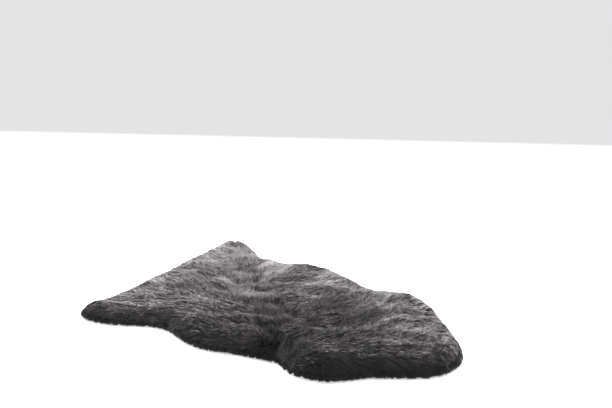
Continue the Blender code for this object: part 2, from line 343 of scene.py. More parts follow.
# %% Comb marks, and the charted flow
COMB_MARKS = (  # x and y in mm, heading in degrees from +X, lean in degrees from upright
    (-525, 215, -140, 74), (-495, 15, -150, 74), (-435, 65, -170, 74), (-390, 135, -170, 74),
    (-265, 225, 85, 74), (-265, 300, 50, 74), (-170, 290, 50, 74), (-460, -210, -150, 74),
    (-415, -145, -160, 74), (-360, -95, -160, 74), (-290, -55, -180, 74), (-265, 15, -165, 74),
    (-170, 125, 65, 74), (-75, 165, 60, 74), (-35, 250, 65, 74), (55, 240, 60, 74),
    (-430, -335, -155, 74), (-355, -285, -145, 74), (-300, -235, -150, 74), (-245, -185, -145, 74),
    (-185, -150, -160, 74), (-110, -120, -155, 74), (-65, -80, -170, 74), (5, 85, 55, 74),
    (60, 120, 100, 74), (135, 145, 80, 74), (180, 205, 90, 74), (235, 255, 85, 74),
    (-135, -280, -145, 74), (-60, -250, -165, 74), (-10, -205, -180, 74), (30, -165, -165, 74),
    (125, -80, 65, 74), (160, 10, 60, 74), (220, 45, 90, 74), (270, 95, 85, 74),
    (330, 130, 85, 74), (340, 235, 35, 72), (410, 145, 60, 74), (95, -240, -150, 74),
    (185, -150, 90, 74), (260, -170, 40, 72), (300, -130, 35, 72), (290, -35, 75, 74),
    (370, -130, 30, 72), (355, -10, 60, 74), (430, -80, 35, 72), (430, 45, 40, 72),
    (485, -25, 30, 72), (475, 100, 40, 72), (505, 145, 30, 72), (-445, 290, -60, 16),
    (-365, 210, -60, 16), (-290, 130, -60, 16), (-210, 65, -60, 16), (-115, 20, -60, 20),
    (-20, -40, -60, 20), (65, -95, -60, 20), (120, -175, -60, 20),
)


def spread_out(marks, x, y, spread=38 * MM):
    """Unit headings, and the marks' last number, at each place.

    It is the mean of the marks, each weighted by exp(-(distance / spread)^2). A
    trace of 1 / distance^2 decides where all of them are far away.
    """
    total, way_x, way_y, value = (np.zeros_like(x) for _ in range(4))
    for mark_x, mark_y, heading, number in marks:
        away = (x - mark_x * MM) ** 2 + (y - mark_y * MM) ** 2
        weight = np.exp(-away / spread**2) + 1e-9 / (away + 1e-4)
        way_x += weight * math.cos(math.radians(heading))
        way_y += weight * math.sin(math.radians(heading))
        value += weight * number
        total += weight
    size = np.maximum(np.hypot(way_x, way_y), 1e-12)
    return way_x / size, way_y / size, value / total


def swung(way_x, way_y, angle):
    """Headings turned to the left by an angle in radians."""
    c, s = np.cos(angle), np.sin(angle)
    return way_x * c - way_y * s, way_x * s + way_y * c


comb_x, comb_y, comb_lean = spread_out(COMB_MARKS, grid_x, grid_y)
swirl = 0.35 * drift(grid_x, grid_y, 60 * MM, seed=7) + 0.30 * drift(grid_x, grid_y, 22 * MM, seed=11)
comb_x, comb_y = swung(comb_x, comb_y, swirl)
print("mean lean: %.0f degrees" % comb_lean[inside > 0].mean())

# %% [markdown]
# ## Which way the wool is shaded
#
# The swells are the large shapes. Between them the photo shows many small patches
# of light and dark, a hand wide or less. They are made by tilting the direction
# that the fibres are shaded by. The fibres themselves aren't moved, and one photo
# can't tell whether such a patch is a dip, a shadow or the dye. The marks say
# which way each place is tilted and how far. A helper script printed the grid
# that 38 of the 62 places come from, and the tilts were set by hand against
# measures of the photo's brightness.

# %% Tilt marks, and how the wool falls at the rim
TILT_MARKS = (  # x and y in mm, heading in degrees from +X, tilt as a multiple of FULL_TILT
    # the pointed end
    (-510, -330, -60, 0.3), (-486, -86, 120, 0.15), (-460, -230, 120, 0.1), (-390, -170, -60, 0.2),
    (-370, -300, -50, 0.0), (-525, 30, 120, 0.35), (-500, 300, 120, 0.2), (-410, -20, -40, 0.2),
    (-400, 250, 120, 0.15), (-340, 270, 120, 0.3), (-440, 140, -50, 0.1), (-290, 240, 30, 0.0),
    (-300, 150, -56, 0.2), (-340, 50, -50, 0.75), (-320, -100, -40, 0.65), (-300, -240, -45, 0.0),
    # across the middle
    (-250, 20, -20, 0.0), (-170, 35, 120, 0.35), (-250, -40, -60, 0.6), (-230, -180, -60, 0.15),
    (-160, -110, -50, 0.05), (-140, -250, -45, 0.7), (-150, 280, -62, 0.5), (-110, 90, -40, 0.5),
    (-50, 310, 40, 0.0), (-40, 150, -60, 0.2), (-90, -55, -45, 1.0), (-135, -60, -45, 1.0),
    (-30, 0, -50, 0.95), (-80, -200, -45, 1.0), (-10, -130, -50, 1.0), (60, 230, -80, 0.25),
    (40, 70, -70, 0.5), (110, 130, -75, 1.15), (60, -70, -70, 1.0), (60, -200, -55, 1.2),
    (120, -140, -60, 1.15),
    # the rounded end
    (180, 195, -95, 0.25), (170, 345, -80, 0.0), (245, 255, -95, 0.1), (310, 320, 120, 0.4),
    (180, 50, -100, 0.95), (245, 105, -105, 1.5), (115, -10, -80, 1.0), (185, -85, -110, 1.05),
    (250, -30, -100, 1.3), (312, 30, -105, 0.35), (312, 170, -95, 0.0), (377, 230, -60, 0.0),
    (376, 90, -100, 0.1), (440, 148, -80, 0.0), (505, 200, 120, 0.5), (250, -155, -80, 1.0),
    (312, -100, -75, 0.7), (374, -43, -70, 0.9), (436, 13, -70, 0.35), (500, 70, -50, 0.3),
    (565, 130, 120, 0.8), (190, -190, -112, 1.2), (300, -190, -60, 0.9), (373, -169, -50, 0.7),
    (432, -114, -48, 0.6),
)


STRAND_GAIN = 1.3
FULL_TILT, RIM_TILT = 46, 42  # degrees that a tilt of 1, and a full fall at the near rim, turn the shading


def strands(x, y, size, length, seed):
    """Smooth chance that is drawn out along the comb, as locks are.

    It is the mean of places set a size apart over this length of the heading. The
    gain and the root of half their number bring back its range.
    """
    way_x, way_y = read(comb_x, x, y), read(comb_y, x, y)
    row = np.linspace(-length / 2, length / 2, max(round(length / size), 3))
    total = sum(drift(x + way_x * step, y + way_y * step, size, seed) for step in row)
    return total / len(row) * STRAND_GAIN * math.sqrt(len(row) / 2)


ragged = inside + MM * (
    12 * drift(grid_x, grid_y, 45 * MM, seed=23)
    + 14 * drift(grid_x, grid_y, 16 * MM, seed=25)
    + 20 * strands(grid_x, grid_y, 11 * MM, 50 * MM, seed=24)
)
near_leg = (0.5 - 0.5 * np.tanh((grid_x + 0.27) / 0.10)) * (0.5 - 0.5 * farness)
round_end = 0.5 + 0.5 * np.tanh((grid_x - 0.43) / 0.06)
near_run = (100 - 55 * farness - 80 * near_leg - 45 * round_end) * MM
near_rim = (1 - ragged / near_run).clip(0, 1) ** 2.6
tilt_x, tilt_y, tilt = spread_out(TILT_MARKS, grid_x, grid_y, spread=55 * MM)
falls = near_rim * (0.62 - 0.38 * farness)
far_rim = (1 - inside / (60 * MM)).clip(0, 1) * farness.clip(0, 1)
print("mean tilt: %.2f" % tilt[inside > 0].mean())

# %% [markdown]
# ## Putting arrays into a mesh
#
# Blender can take a whole mesh from arrays at once. The helper below gives it
# the vertices, the corners of all faces in one long row, and where in that row
# each face starts. It also stores what the materials will read: how far along
# its fibre a vertex lies, and the fibre's own tone.

# %% From arrays to a piece
def new_piece(name, vertices, corners, starts, values=(), charts=(), normals=None):
    """A mesh object at the origin from whole arrays.

    values are named numbers for each vertex, charts are named UV maps with two
    numbers for each corner, and normals has one direction for each corner.
    """
    mesh = bpy.data.meshes.new(name)
    mesh.vertices.add(len(vertices))
    mesh.vertices.foreach_set("co", np.ascontiguousarray(vertices, dtype=np.float32).ravel())
    mesh.loops.add(len(corners))
    mesh.loops.foreach_set("vertex_index", np.ascontiguousarray(corners, dtype=np.int32))
    mesh.polygons.add(len(starts))
    mesh.polygons.foreach_set("loop_start", np.ascontiguousarray(starts, dtype=np.int32))
    mesh.update(calc_edges=True)
    mesh.validate()
    for title, numbers in values:
        layer = mesh.attributes.new(title, "FLOAT", "POINT")
        layer.data.foreach_set("value", np.ascontiguousarray(numbers, dtype=np.float32))
    for title, places in charts:
        layer = mesh.uv_layers.new(name=title)
        layer.data.foreach_set("uv", np.ascontiguousarray(places, dtype=np.float32).ravel())
    mesh.shade_smooth()
    if normals is not None:
        layer = mesh.attributes.new("custom_normal", "FLOAT_VECTOR", "CORNER")
        layer.data.foreach_set("vector", np.ascontiguousarray(normals, dtype=np.float32).ravel())
    piece = bpy.data.objects.new(name, mesh)
    scene.collection.objects.link(piece)
    return piece


# %% [markdown]
# ## The hide, and the body of the wool
#
# Both are sheets over the same outline, and a sheet with four corners is easy
# to draw as a grid. So the outline is cut in four sides at its corners, and
# the grid's inner points are drawn evenly from all four. A flat or lumpy top, a
# rim drawn under in a few rings and a level base make a closed form. The hide
# is thin suede. The body is the dense wool between the locks, dark because
# little light reaches it.

# %% A grid that fills the outline
CORNERS = np.array([0, 10, 29, 37, 51]) * 12  # near leg, far leg, far corner, near lobe, and round again


def points_at(path, shares):
    """The points at the given shares of an open path's length."""
    lengths = np.concatenate([[0], np.cumsum(np.linalg.norm(np.diff(path, axis=0), axis=1))])
    return np.stack([np.interp(shares * lengths[-1], lengths, path[:, k]) for k in (0, 1)], axis=1)


def filled(loop, columns, rows):
    """A grid inside a loop of four sides. Its lines lie closer together near the rim.

    It is the sum of the lines ruled from side to side each way, less the surface
    that is ruled through the four corners.
    """
    closed = np.append(loop, loop[:1], axis=0)
    pointed, far, round_end, near = (closed[a : b + 1] for a, b in zip(CORNERS[:-1], CORNERS[1:]))
    even = (np.linspace(0, 1, count) for count in (columns, rows))
    u, v = (0.45 * t + 0.55 * t * t * (3 - 2 * t) for t in even)
    top, bottom = points_at(far, u), points_at(near[::-1], u)
    left, right = points_at(pointed, v), points_at(round_end[::-1], v)
    u, v = u[None, :, None], v[:, None, None]
    ruled = (1 - v) * bottom[None] + v * top[None] + (1 - u) * left[:, None] + u * right[:, None]
    low_corners = (1 - u) * (1 - v) * bottom[0] + u * (1 - v) * bottom[-1]
    corners = low_corners + (1 - u) * v * top[0] + u * v * top[-1]
    return ruled - corners


def closed_form(name, loop, columns, rows, top_height, insets, heights, base_inset, base_height):
    """A closed form from a grid that is lifted to top_height(x, y).

    Rings round the grid are moved in by insets and set at heights, and the same
    grid, moved in and level, is the base.
    """
    plan = filled(loop, columns, rows)
    base = filled(shrunk(loop, base_inset), columns, rows)
    number = np.arange(rows * columns).reshape(rows, columns)
    edge = np.concatenate([number[0, :-1], number[:-1, -1], number[-1, :0:-1], number[:0:-1, 0]])
    edge_plan = plan.reshape(-1, 2)[edge]
    inwards = base.reshape(-1, 2)[edge] - edge_plan
    x, y = plan.reshape(-1, 2).T
    parts = [np.column_stack([x, y, top_height(x, y)])]
    for inset, height in zip(insets, heights):
        parts.append(np.column_stack([edge_plan + inwards * inset / base_inset, np.full(len(edge), height)]))
    parts.append(np.column_stack([base.reshape(-1, 2), np.full(len(x), base_height)]))
    a, b, c, d = number[:-1, :-1], number[:-1, 1:], number[1:, 1:], number[1:, :-1]
    upper = np.stack([a, b, c, d], axis=-1).reshape(-1, 4)
    last = len(x) + len(insets) * len(edge)
    rings = [edge, *(len(x) + k * len(edge) + np.arange(len(edge)) for k in range(len(insets))), last + edge]
    sides = [
        np.stack([low, np.roll(low, -1), np.roll(high, -1), high], axis=1)
        for high, low in zip(rings[:-1], rings[1:])
    ]
    faces = np.concatenate([upper, *sides, last + upper[:, ::-1]])
    return new_piece(name, np.concatenate(parts), faces.reshape(-1), np.arange(0, faces.size, 4))


hide_loop = shrunk(outline, 17 * MM)
hide = closed_form(
    "hide", hide_loop, 60, 40,
    top_height=lambda x, y: np.full(x.shape, 1.9 * MM),
    insets=[-0.3 * MM, -0.3 * MM], heights=[1.4 * MM, 0.6 * MM],
    base_inset=0.5 * MM, base_height=0.1 * MM,
)
print("hide faces:", len(hide.data.polygons))

# %% The body of the wool, darker and lower than the locks
BODY_SHARE = 0.66


def body_height(x, y):
    """The wool's top at two thirds of its height, and lower the further from a lock's middle."""
    row, column = locks.nearest(x, y)
    away = np.hypot(x - locks.x[row, column], y - locks.y[row, column]) / LOCK_SIZE
    return read(wool_top, x, y) * BODY_SHARE - 3.0 * MM * away.clip(0, 1) ** 2 + 1.0 * MM


body = closed_form(
    "underwool", rim, 100, 68,
    top_height=body_height,
    insets=[-0.5 * MM, 2 * MM, 5.5 * MM], heights=[7 * MM, 4.5 * MM, 2.6 * MM],
    base_inset=9 * MM, base_height=2.0 * MM,
)
print("underwool faces:", len(body.data.polygons))

# %% [markdown]
# ## One fibre
#
# Blender's hair can't be handed on with the model. So each visible bundle of
# fibres is a slim spindle two to three millimetres thick, with three sides and
# a point at both ends. It looks much the same from all sides, which a flat
# ribbon doesn't, and it has just six faces.
# It is thickest near its tip, so that the tips close up to a soft skin, as
# wool's do.
#
# Wool scatters light along its fibres, so a tuft is as bright as the way its
# end looks at the light. The spindles of a tuft therefore have nearly one
# direction as their normal, and each side adds a share of its own. No normal
# points into its own face.

# %% Spindles from three points each
WAIST = 0.64  # where along a fibre it is thickest
SIDE_SHARE = 0.4  # how much of its side's own direction a normal takes on
LEAST_OUT = 0.08  # how far out of its own face a normal points at least


def fibres(name, root, waist, tip, lit, width, roll, tone):
    """Joined spindles: a point at the root, three vertices round the waist and a point at the tip.

    The three lie half the width from the waist, a third of a turn apart. A corner's
    normal is the direction lit plus SIDE_SHARE of the way out of its side. Where that
    would point into the face, more of the way out is added to bring it back.
    """
    course = unit(tip - root)
    first = unit(course[:, [1, 0, 2]] * [-1, 1, 0] + [1e-6, 0, 0])
    second = np.cross(course, first)

    def around(turns):
        angle = roll[:, None, None] + (np.arange(3)[:, None] + turns) * 2 * math.pi / 3
        return first[:, None] * np.cos(angle) + second[:, None] * np.sin(angle)

    count = len(root)
    ring = waist[:, None] + around(0) * width[:, None, None] / 2
    vertices = np.concatenate([root[:, None], ring, tip[:, None]], axis=1)
    pattern = np.array([[1, 2, 4], [2, 3, 4], [3, 1, 4], [2, 1, 0], [3, 2, 0], [1, 3, 0]]).ravel()
    side = np.tile(np.repeat([0, 1, 2], 3), 2)
    corners = (np.arange(count)[:, None] * 5 + pattern).reshape(-1)
    out = around(0.5)[:, side]
    normals = unit(lit[:, None] + out * SIDE_SHARE)
    normals = unit(normals + out * np.maximum(LEAST_OUT - (normals * out).sum(axis=2, keepdims=True), 0))
    along = np.array([0, WAIST, WAIST, WAIST, 1])
    across = np.array([0.5, 0.12, 0.5, 0.88, 0.5])
    cells = math.ceil(math.sqrt(count))
    cell = np.stack([np.arange(count) % cells, np.arange(count) // cells], axis=1)[:, None]
    chart = (cell + np.stack([across, 0.1 + 0.8 * along], axis=1)[None, pattern]) / cells
    return new_piece(
        name,
        vertices.reshape(-1, 3),
        corners,
        np.arange(0, len(corners), 3),
        values=[("along", np.tile(along, count)), ("tone", np.repeat(tone, 5))],
        charts=[("OFBake", chart.reshape(-1, 2))],
        normals=normals.reshape(-1, 3),
    )


# %% [markdown]
# ## Where the fibres stand and lean
#
# A fibre stands in the body of the wool and leans the way it is combed. Its
# lock swings it to one side, lays it more or less over and lifts or sinks it,
# and within the lock its tuft does the same on a smaller scale. The tips are
# drawn together in their tuft, so that dark gaps open between tufts. Towards
# the rim the fibres fall outwards, past the rim and down to the floor.

# %% The wool's top, with its ridges and partings
SLIDE = 1.5  # how steeply the wool falls once it's past the rim
RIPPLE_MM = 3.0  # how high a ridge of 1 stands
ripple = 0.55 * strands(grid_x, grid_y, 11 * MM, 60 * MM, seed=21)
ripple += 0.55 * drift(grid_x, grid_y, 30 * MM, seed=22)
ripple *= (inside / (35 * MM)).clip(0, 1)
drape = np.where(inside > 0, wool_top + ripple * RIPPLE_MM * MM, RIM_HEIGHT + inside * SLIDE)
grown_top = np.where(inside > 0, drape, RIM_HEIGHT)
fall_y, fall_x = (-step.clip(-0.6, 0.6) for step in np.gradient(grown_top, CHART_STEP))
print("ridges and partings: %.1f to %.1f mm" % (ripple.min() * RIPPLE_MM, ripple.max() * RIPPLE_MM))


# %% Which way a fibre leans at a place, and which way its end looks
def turned_out(way_x, way_y, x, y, share):
    """A charted heading at each place, turned outwards near the rim by this share."""
    near = read(near_rim, x, y) * share
    hx = read(way_x, x, y) * (1 - near) + read(out_x, x, y) * near * 1.3
    hy = read(way_y, x, y) * (1 - near) + read(out_y, x, y) * near * 1.3
    size = np.maximum(np.hypot(hx, hy), 1e-6)
    return hx / size, hy / size


# %% One layer of wool
FIBRE_GAP = 4.3 * MM
# painted shade darkens the fibres where the wool falls at the near rim, and painted light makes them paler
# near the far rim
NEAR_PAINTED_SHADE, FAR_PAINTED_LIGHT = 0.42, 0.2  # painted: how much darker the near rim is, and how much paler the far rim


def strand_at(x, y):
    """Strands of two widths added up: chance drawn out along the comb."""
    return 0.6 * strands(x, y, 3.5 * MM, 20 * MM, seed=14) + 0.8 * strands(x, y, 7.5 * MM, 34 * MM, seed=15)


def wool_layer(name, seed, width, lift, spread, tone, length):
    """Fibres scattered FIBRE_GAP apart inside the rim.

    lift raises or lowers their tips, and spread is how freely they swing on their own.
    """
    field = Scatter(FIBRE_GAP, seed)
    x, y = field.x.ravel(), field.y.ravel()
    grown = read(inside, x, y) > 1 * MM
    x, y = x[grown], y[grown]
    chance = np.random.default_rng(seed + 500)
    a, b, c, d = chance.uniform(-1, 1, (4, len(x)))
    lock, tuft = locks.nearest(x, y), tufts.nearest(x, y)
    # headings: the place's, turned by the lock's swing, the tuft's and the fibre's own
    hx, hy = turned_out(comb_x, comb_y, x, y, 0.3)
    near = read(near_rim, x, y)
    fall = read(falls, x, y)
    swing = 0.06 * locks.chances[0][lock] + 0.10 * tufts.chances[0][tuft] + a * (spread + 0.5 * near)
    hx, hy = swung(hx, hy, swing)
    # a fibre stands square to the wool's surface, so it leans downhill before it is combed
    down_x, down_y = read(fall_x, x, y) * 0.7, read(fall_y, x, y) * 0.7
    slack = 4 * drift(x, y, 26 * MM, seed=12) + 3 * tufts.chances[1][tuft] + 3 * b
    lean = np.radians(read(comb_lean, x, y) - 4 + (8 - 10 * (1 - fall)) * near + 2 * slack).clip(0, 1.4)
    tip_x = x + (hx * np.sin(lean) + down_x) * length * 0.65
    tip_y = y + (hy * np.sin(lean) + down_y) * length * 0.65
    # strands: the tips are drawn to the ridge of their strand, and it lifts and lightens them
    side_x, side_y = -hy * 1.5 * MM, hx * 1.5 * MM
    pull = strand_at(tip_x + side_x, tip_y + side_y) - strand_at(tip_x - side_x, tip_y - side_y)
    pull = (pull * 2.6).clip(-2.0, 2.0)
    tip_x, tip_y = tip_x + side_x * pull, tip_y + side_y * pull
    strand = strand_at(tip_x, tip_y)
    past = np.maximum(-read(inside, tip_x, tip_y) - (8 + 2.5 * c) * MM, 0)
    tip_x, tip_y = tip_x - read(out_x, tip_x, tip_y) * past, tip_y - read(out_y, tip_x, tip_y) * past
    stray = 5.0 * c * read(far_rim, x, y)
    uneven = 1.0 * drift(x, y, 18 * MM, seed=13) + stray + 2.6 * strand + 0.3 * locks.chances[2][lock]
    rise = lift + (uneven + 0.4 * tufts.chances[2][tuft] + 0.4 * c) * MM
    edge = (read(inside, x, y) / (30 * MM)).clip(0.25, 1)
    tip_z = np.maximum(read(drape, tip_x, tip_y) + rise * edge, 0.8 * MM + 1.2 * MM * (c + 1))
    root_x, root_y = x - (tip_x - x) * 0.54, y - (tip_y - y) * 0.54
    root_z = read(drape, root_x, root_y) + rise * edge - length * np.cos(lean) * (0.4 + 0.6 * edge)
    root = np.stack([root_x, root_y, np.maximum(root_z, 1.5 * MM)], axis=1)
    tip = np.stack([tip_x, tip_y, tip_z], axis=1)
    waist = root * (1 - WAIST) + tip * WAIST
    waist[:, 2] += (1.6 + 0.8 * d) * MM * edge
    over = read(tilt, x, y) * (1 - near) + near * 0.8
    looks = np.sin(np.radians(2 + FULL_TILT * over + RIM_TILT * fall**1.5 + slack + 5 * strand))
    look_x, look_y = turned_out(tilt_x, tilt_y, x, y, 1.0)
    lit = unit(np.stack([look_x * looks + down_x, look_y * looks + down_y, np.full(len(x), 0.7)], axis=1))
    shade = 1 + 0.11 * strand + 0.04 * locks.chances[3][lock] + 0.06 * tufts.chances[3][tuft]
    shade = shade + 0.03 * d + 0.10 * drift(x, y, 45 * MM, seed=9)
    # painted shade where the wool falls at the near rim, painted light near the far rim
    shade = tone * shade * (1 - NEAR_PAINTED_SHADE * fall) * (1 + FAR_PAINTED_LIGHT * read(far_rim, x, y))
    return fibres(name, root, waist, tip, lit, width * (1 + 0.25 * c), a * 3, shade)


wool = [
    # wool_deep takes tone 0.85: painted shade, a little darker low in the wool where less light reaches
    wool_layer("wool_deep", 101, 2.7 * MM, lift=-2.5 * MM, spread=0.3, tone=0.85, length=24 * MM),
    wool_layer("wool_first", 102, 2.3 * MM, lift=1.5 * MM, spread=0.12, tone=1.0, length=28 * MM),
    wool_layer("wool_second", 103, 2.3 * MM, lift=2.2 * MM, spread=0.12, tone=1.0, length=30 * MM),
    wool_layer("wool_tips", 104, 2.0 * MM, lift=3.0 * MM, spread=0.16, tone=1.05, length=32 * MM),
]
print("fibres in each layer:", [len(piece.data.polygons) // 6 for piece in wool])

# %% [markdown]
# ## The wool that hangs over the rim
#
# Round the rim the wool falls outwards over the edge of the hide, in locks that
# end in points. A lower row lies out on the floor, and an upper row hangs over
# it like shingles. Its fibres start from the side of the body, and each is
# drawn to the tip of its lock.

# %% Locks round the rim
rim_steps = np.linalg.norm(np.roll(rim, -1, axis=0) - rim, axis=1)
rim_marks = np.concatenate([[0], np.cumsum(rim_steps)])
RIM_LENGTH = rim_marks[-1]
rim_closed = np.append(rim, rim[:1], axis=0)


def on_rim(distance):
    """Points on the rim at these distances round it, with the unit vectors out of it."""
    at = distance % RIM_LENGTH
    spots = np.stack([np.interp(at, rim_marks, rim_closed[:, k]) for k in (0, 1)], axis=1)
    ways = outward(rim)
    ways = np.append(ways, ways[:1], axis=0)
    return spots, unit(np.stack([np.interp(at, rim_marks, ways[:, k]) for k in (0, 1)], axis=1))


def rim_row(seed, count, lock_gap, root_in, root_high, reach, tip_z, swing):
    """Roots, elbows and tips of one row of rim locks. root_in, root_high, reach and tip_z are ranges."""
    chance = np.random.default_rng(seed)
    lock_count = int(RIM_LENGTH / lock_gap)
    lock_at = np.sort(chance.uniform(0, RIM_LENGTH, lock_count))
    lock_reach = chance.uniform(*reach, lock_count)
    lock_swing = chance.uniform(-swing, swing, lock_count)
    lock_z = chance.uniform(*tip_z, lock_count)
    at = chance.uniform(0, RIM_LENGTH, count)
    k = np.abs((at[:, None] - lock_at[None] + RIM_LENGTH / 2) % RIM_LENGTH - RIM_LENGTH / 2).argmin(axis=1)
    spots, ways = on_rim(at)
    a, b, c, d = chance.uniform(0, 1, (4, count))
    deep = root_in[0] + (root_in[1] - root_in[0]) * a
    root_xy = spots - ways * deep[:, None]
    high = read(wool_top, root_xy[:, 0], root_xy[:, 1]) * BODY_SHARE
    root_z = high * (root_high[0] + (root_high[1] - root_high[0]) * b)
    root = np.column_stack([root_xy, np.maximum(root_z, 1.0 * MM)])
    lock_spot, lock_way = on_rim(lock_at[k])
    lock_way = unit(lock_way + [0.5, 0])  # the comb drags the wool a little towards the rounded end
    turn = lock_swing[k] + (c - 0.5) * 0.5
    way = np.stack(swung(lock_way[:, 0], lock_way[:, 1], turn), axis=1)
    gather = 0.1 + 0.5 * d
    foot = spots * (1 - gather)[:, None] + lock_spot * gather[:, None]
    out = lock_reach[k] * (0.62 + 0.5 * d)
    tip_xy = foot + way * out[:, None]
    high_tip = np.maximum(lock_z[k] * (0.4 + 0.9 * a) + 0.6 * MM + 1.5 * MM * c, 0.7 * MM)
    tip = np.column_stack([tip_xy, high_tip])
    elbow = root * 0.42 + tip * 0.58
    elbow[:, 2] = root[:, 2] * 0.8 + tip[:, 2] * 0.2 + 1.5 * MM
    # painted shade: the rim locks take 0.68 of the top wool's tone, darker for the shadow they hang in; the
    # rest varies at random by fibre and by lock
    tone = 0.68 * (1 + 0.3 * (c - 0.5) + 0.5 * (chance.uniform(0, 1, lock_count)[k] - 0.5))
    looks = unit(unit(elbow - root) + unit(tip - elbow))
    return root, elbow, tip, looks, 1.8 * MM * (0.8 + 0.5 * b), a * 6, tone


rows = [
    rim_row(31, 9000, 12 * MM, (-1 * MM, 12 * MM), (0.1, 0.7), (6 * MM, 13 * MM), (0 * MM, 3 * MM), 0.30),
    rim_row(32, 8000, 10 * MM, (0 * MM, 16 * MM), (0.5, 1.0), (3 * MM, 10 * MM), (5 * MM, 14 * MM), 0.40),
]
rim_wool = fibres("wool_rim", *(np.concatenate(part) for part in zip(*rows)))
wool.append(rim_wool)
print("fibres round the rim:", len(rim_wool.data.polygons) // 6)

# %% [markdown]
# ## The look of dyed wool
#
# Dyed wool is matt. Its tips have faded a little and catch the light, its roots
# keep the dark dye, and no two locks took quite the same. The step from dark
# roots to pale tips is also painted shade low among the fibres and painted
# light on the tips. The dye is a node group, because the fibres and the body
# share it: it mixes root and tip colour along the fibre, then multiplies by the
# fibre's tone and by a slow unevenness.

# %% The dye as a node group
def new_group(name, inputs, outputs):
    """A shader node group with named sockets. Each is a name, a kind and, for an input, its value."""
    group = bpy.data.node_groups.new(name, "ShaderNodeTree")
    for title, kind, value in inputs:
        socket = group.interface.new_socket(name=title, in_out="INPUT", socket_type=kind)
        if value is not None:
            socket.default_value = value
    for title, kind in outputs:
        group.interface.new_socket(name=title, in_out="OUTPUT", socket_type=kind)
    start, end = group.nodes.new("NodeGroupInput"), group.nodes.new("NodeGroupOutput")
    start.location, end.location = (-800, 0), (600, 0)
    return group, start, end


def node(tree, kind, place, **settings):
    """A new node at a place in the tree, with its settings."""
    made = tree.nodes.new(kind)
    made.location = place
    for key, value in settings.items():
        setattr(made, key, value)
    return made


def maths(tree, place, operation, first, second=None, clamp=False):
    """A Math node whose inputs are sockets or plain numbers. It gives back its output."""
    made = node(tree, "ShaderNodeMath", place, operation=operation, use_clamp=clamp)
    for socket, value in zip(made.inputs, (first, second)):
        if value is None:
            continue
        if isinstance(value, (int, float)):
            socket.default_value = value
        else:
            tree.links.new(value, socket)
    return made.outputs[0]


def noise(tree, place, scale, detail):
    """A Noise Texture node of this scale and detail."""
    made = node(tree, "ShaderNodeTexNoise", place)
    made.inputs["Scale"].default_value = scale
    made.inputs["Detail"].default_value = detail
    return made


def bumped(tree, place, height, strength, distance, shader):
    """Bumps the shader's surface by a height socket, over a distance in metres."""
    bump = node(tree, "ShaderNodeBump", place)
    bump.inputs["Strength"].default_value = strength
    bump.inputs["Distance"].default_value = distance
    tree.links.new(height, bump.inputs["Height"])
    tree.links.new(bump.outputs[0], shader.inputs["Normal"])


dye, dye_in, dye_out = new_group(
    "wool dye",
    [
        ("Vector", "NodeSocketVector", None),
        ("Along", "NodeSocketFloat", 1.0),
        ("Tone", "NodeSocketFloat", 1.0),
        ("Root Color", "NodeSocketColor", (0.042, 0.038, 0.0365, 1.0)),
        ("Tip Color", "NodeSocketColor", (0.168, 0.156, 0.158, 1.0)),
        ("Unevenness", "NodeSocketFloat", 0.2),
    ],
    [("Color", "NodeSocketColor"), ("Roughness", "NodeSocketFloat")],
)
links = dye.links
# roots darker and tips paler along each fibre: partly real fading, partly painted shade and painted light
fade_and_shade = maths(dye, (-560, 160), "POWER", dye_in.outputs["Along"], 0.8, clamp=True)
mixed = node(dye, "ShaderNodeMix", (-340, 160), data_type="RGBA")
links.new(fade_and_shade, mixed.inputs[0])
links.new(dye_in.outputs["Root Color"], mixed.inputs[6])
links.new(dye_in.outputs["Tip Color"], mixed.inputs[7])
patches = noise(dye, (-560, -120), 14.0, 3.0)
links.new(dye_in.outputs["Vector"], patches.inputs["Vector"])
patchy = maths(dye, (-340, -120), "SUBTRACT", patches.outputs[0], 0.5)
patchy = maths(dye, (-180, -120), "MULTIPLY", patchy, dye_in.outputs["Unevenness"])
patchy = maths(dye, (-20, -120), "MULTIPLY", patchy, 2.0)
patchy = maths(dye, (140, -120), "ADD", patchy, 1.0)
factor = maths(dye, (140, 40), "MULTIPLY", patchy, dye_in.outputs["Tone"])
toned = node(dye, "ShaderNodeVectorMath", (320, 120), operation="SCALE")
links.new(mixed.outputs[2], toned.inputs[0])
links.new(factor, toned.inputs["Scale"])
links.new(toned.outputs[0], dye_out.inputs["Color"])
rough = maths(dye, (140, -300), "MULTIPLY", patches.outputs[0], 0.2)
rough = maths(dye, (320, -300), "ADD", rough, 0.62, clamp=True)
links.new(rough, dye_out.inputs["Roughness"])
print("wool dye nodes:", len(dye.nodes))

# %% [markdown]
# The fibre's material reads the two numbers that each fibre carries. A little
# sheen stands for the fine hairs that are too small to build: they catch light
# that grazes the wool, which makes its far edges pale.

# %% The wool's materials
def new_material(name, roughness=0.8, sheen=0.0, sheen_roughness=0.4, sheen_tint=(1, 1, 1, 1), specular=0.3):
    """A material with a Principled shader whose constants sit on its own sockets."""
    made = bpy.data.materials.new(name)
    made.use_nodes = True
    shader = made.node_tree.nodes["Principled BSDF"]
    shader.inputs["Roughness"].default_value = roughness
    shader.inputs["Specular IOR Level"].default_value = specular
    shader.inputs["Sheen Weight"].default_value = sheen
    shader.inputs["Sheen Roughness"].default_value = sheen_roughness
    shader.inputs["Sheen Tint"].default_value = sheen_tint
    return made, made.node_tree, shader


def dyed(tree, along, tone):
    """The dye group in a material's tree, with sockets or numbers for how far along and for the tone."""
    place = node(tree, "ShaderNodeTexCoord", (-900, 0))
    made = node(tree, "ShaderNodeGroup", (-400, 0), node_tree=dye)
    tree.links.new(place.outputs["Object"], made.inputs["Vector"])
    for title, value in (("Along", along), ("Tone", tone)):
        if isinstance(value, (int, float)):
            made.inputs[title].default_value = value
        else:
            tree.links.new(value, made.inputs[title])
    return made


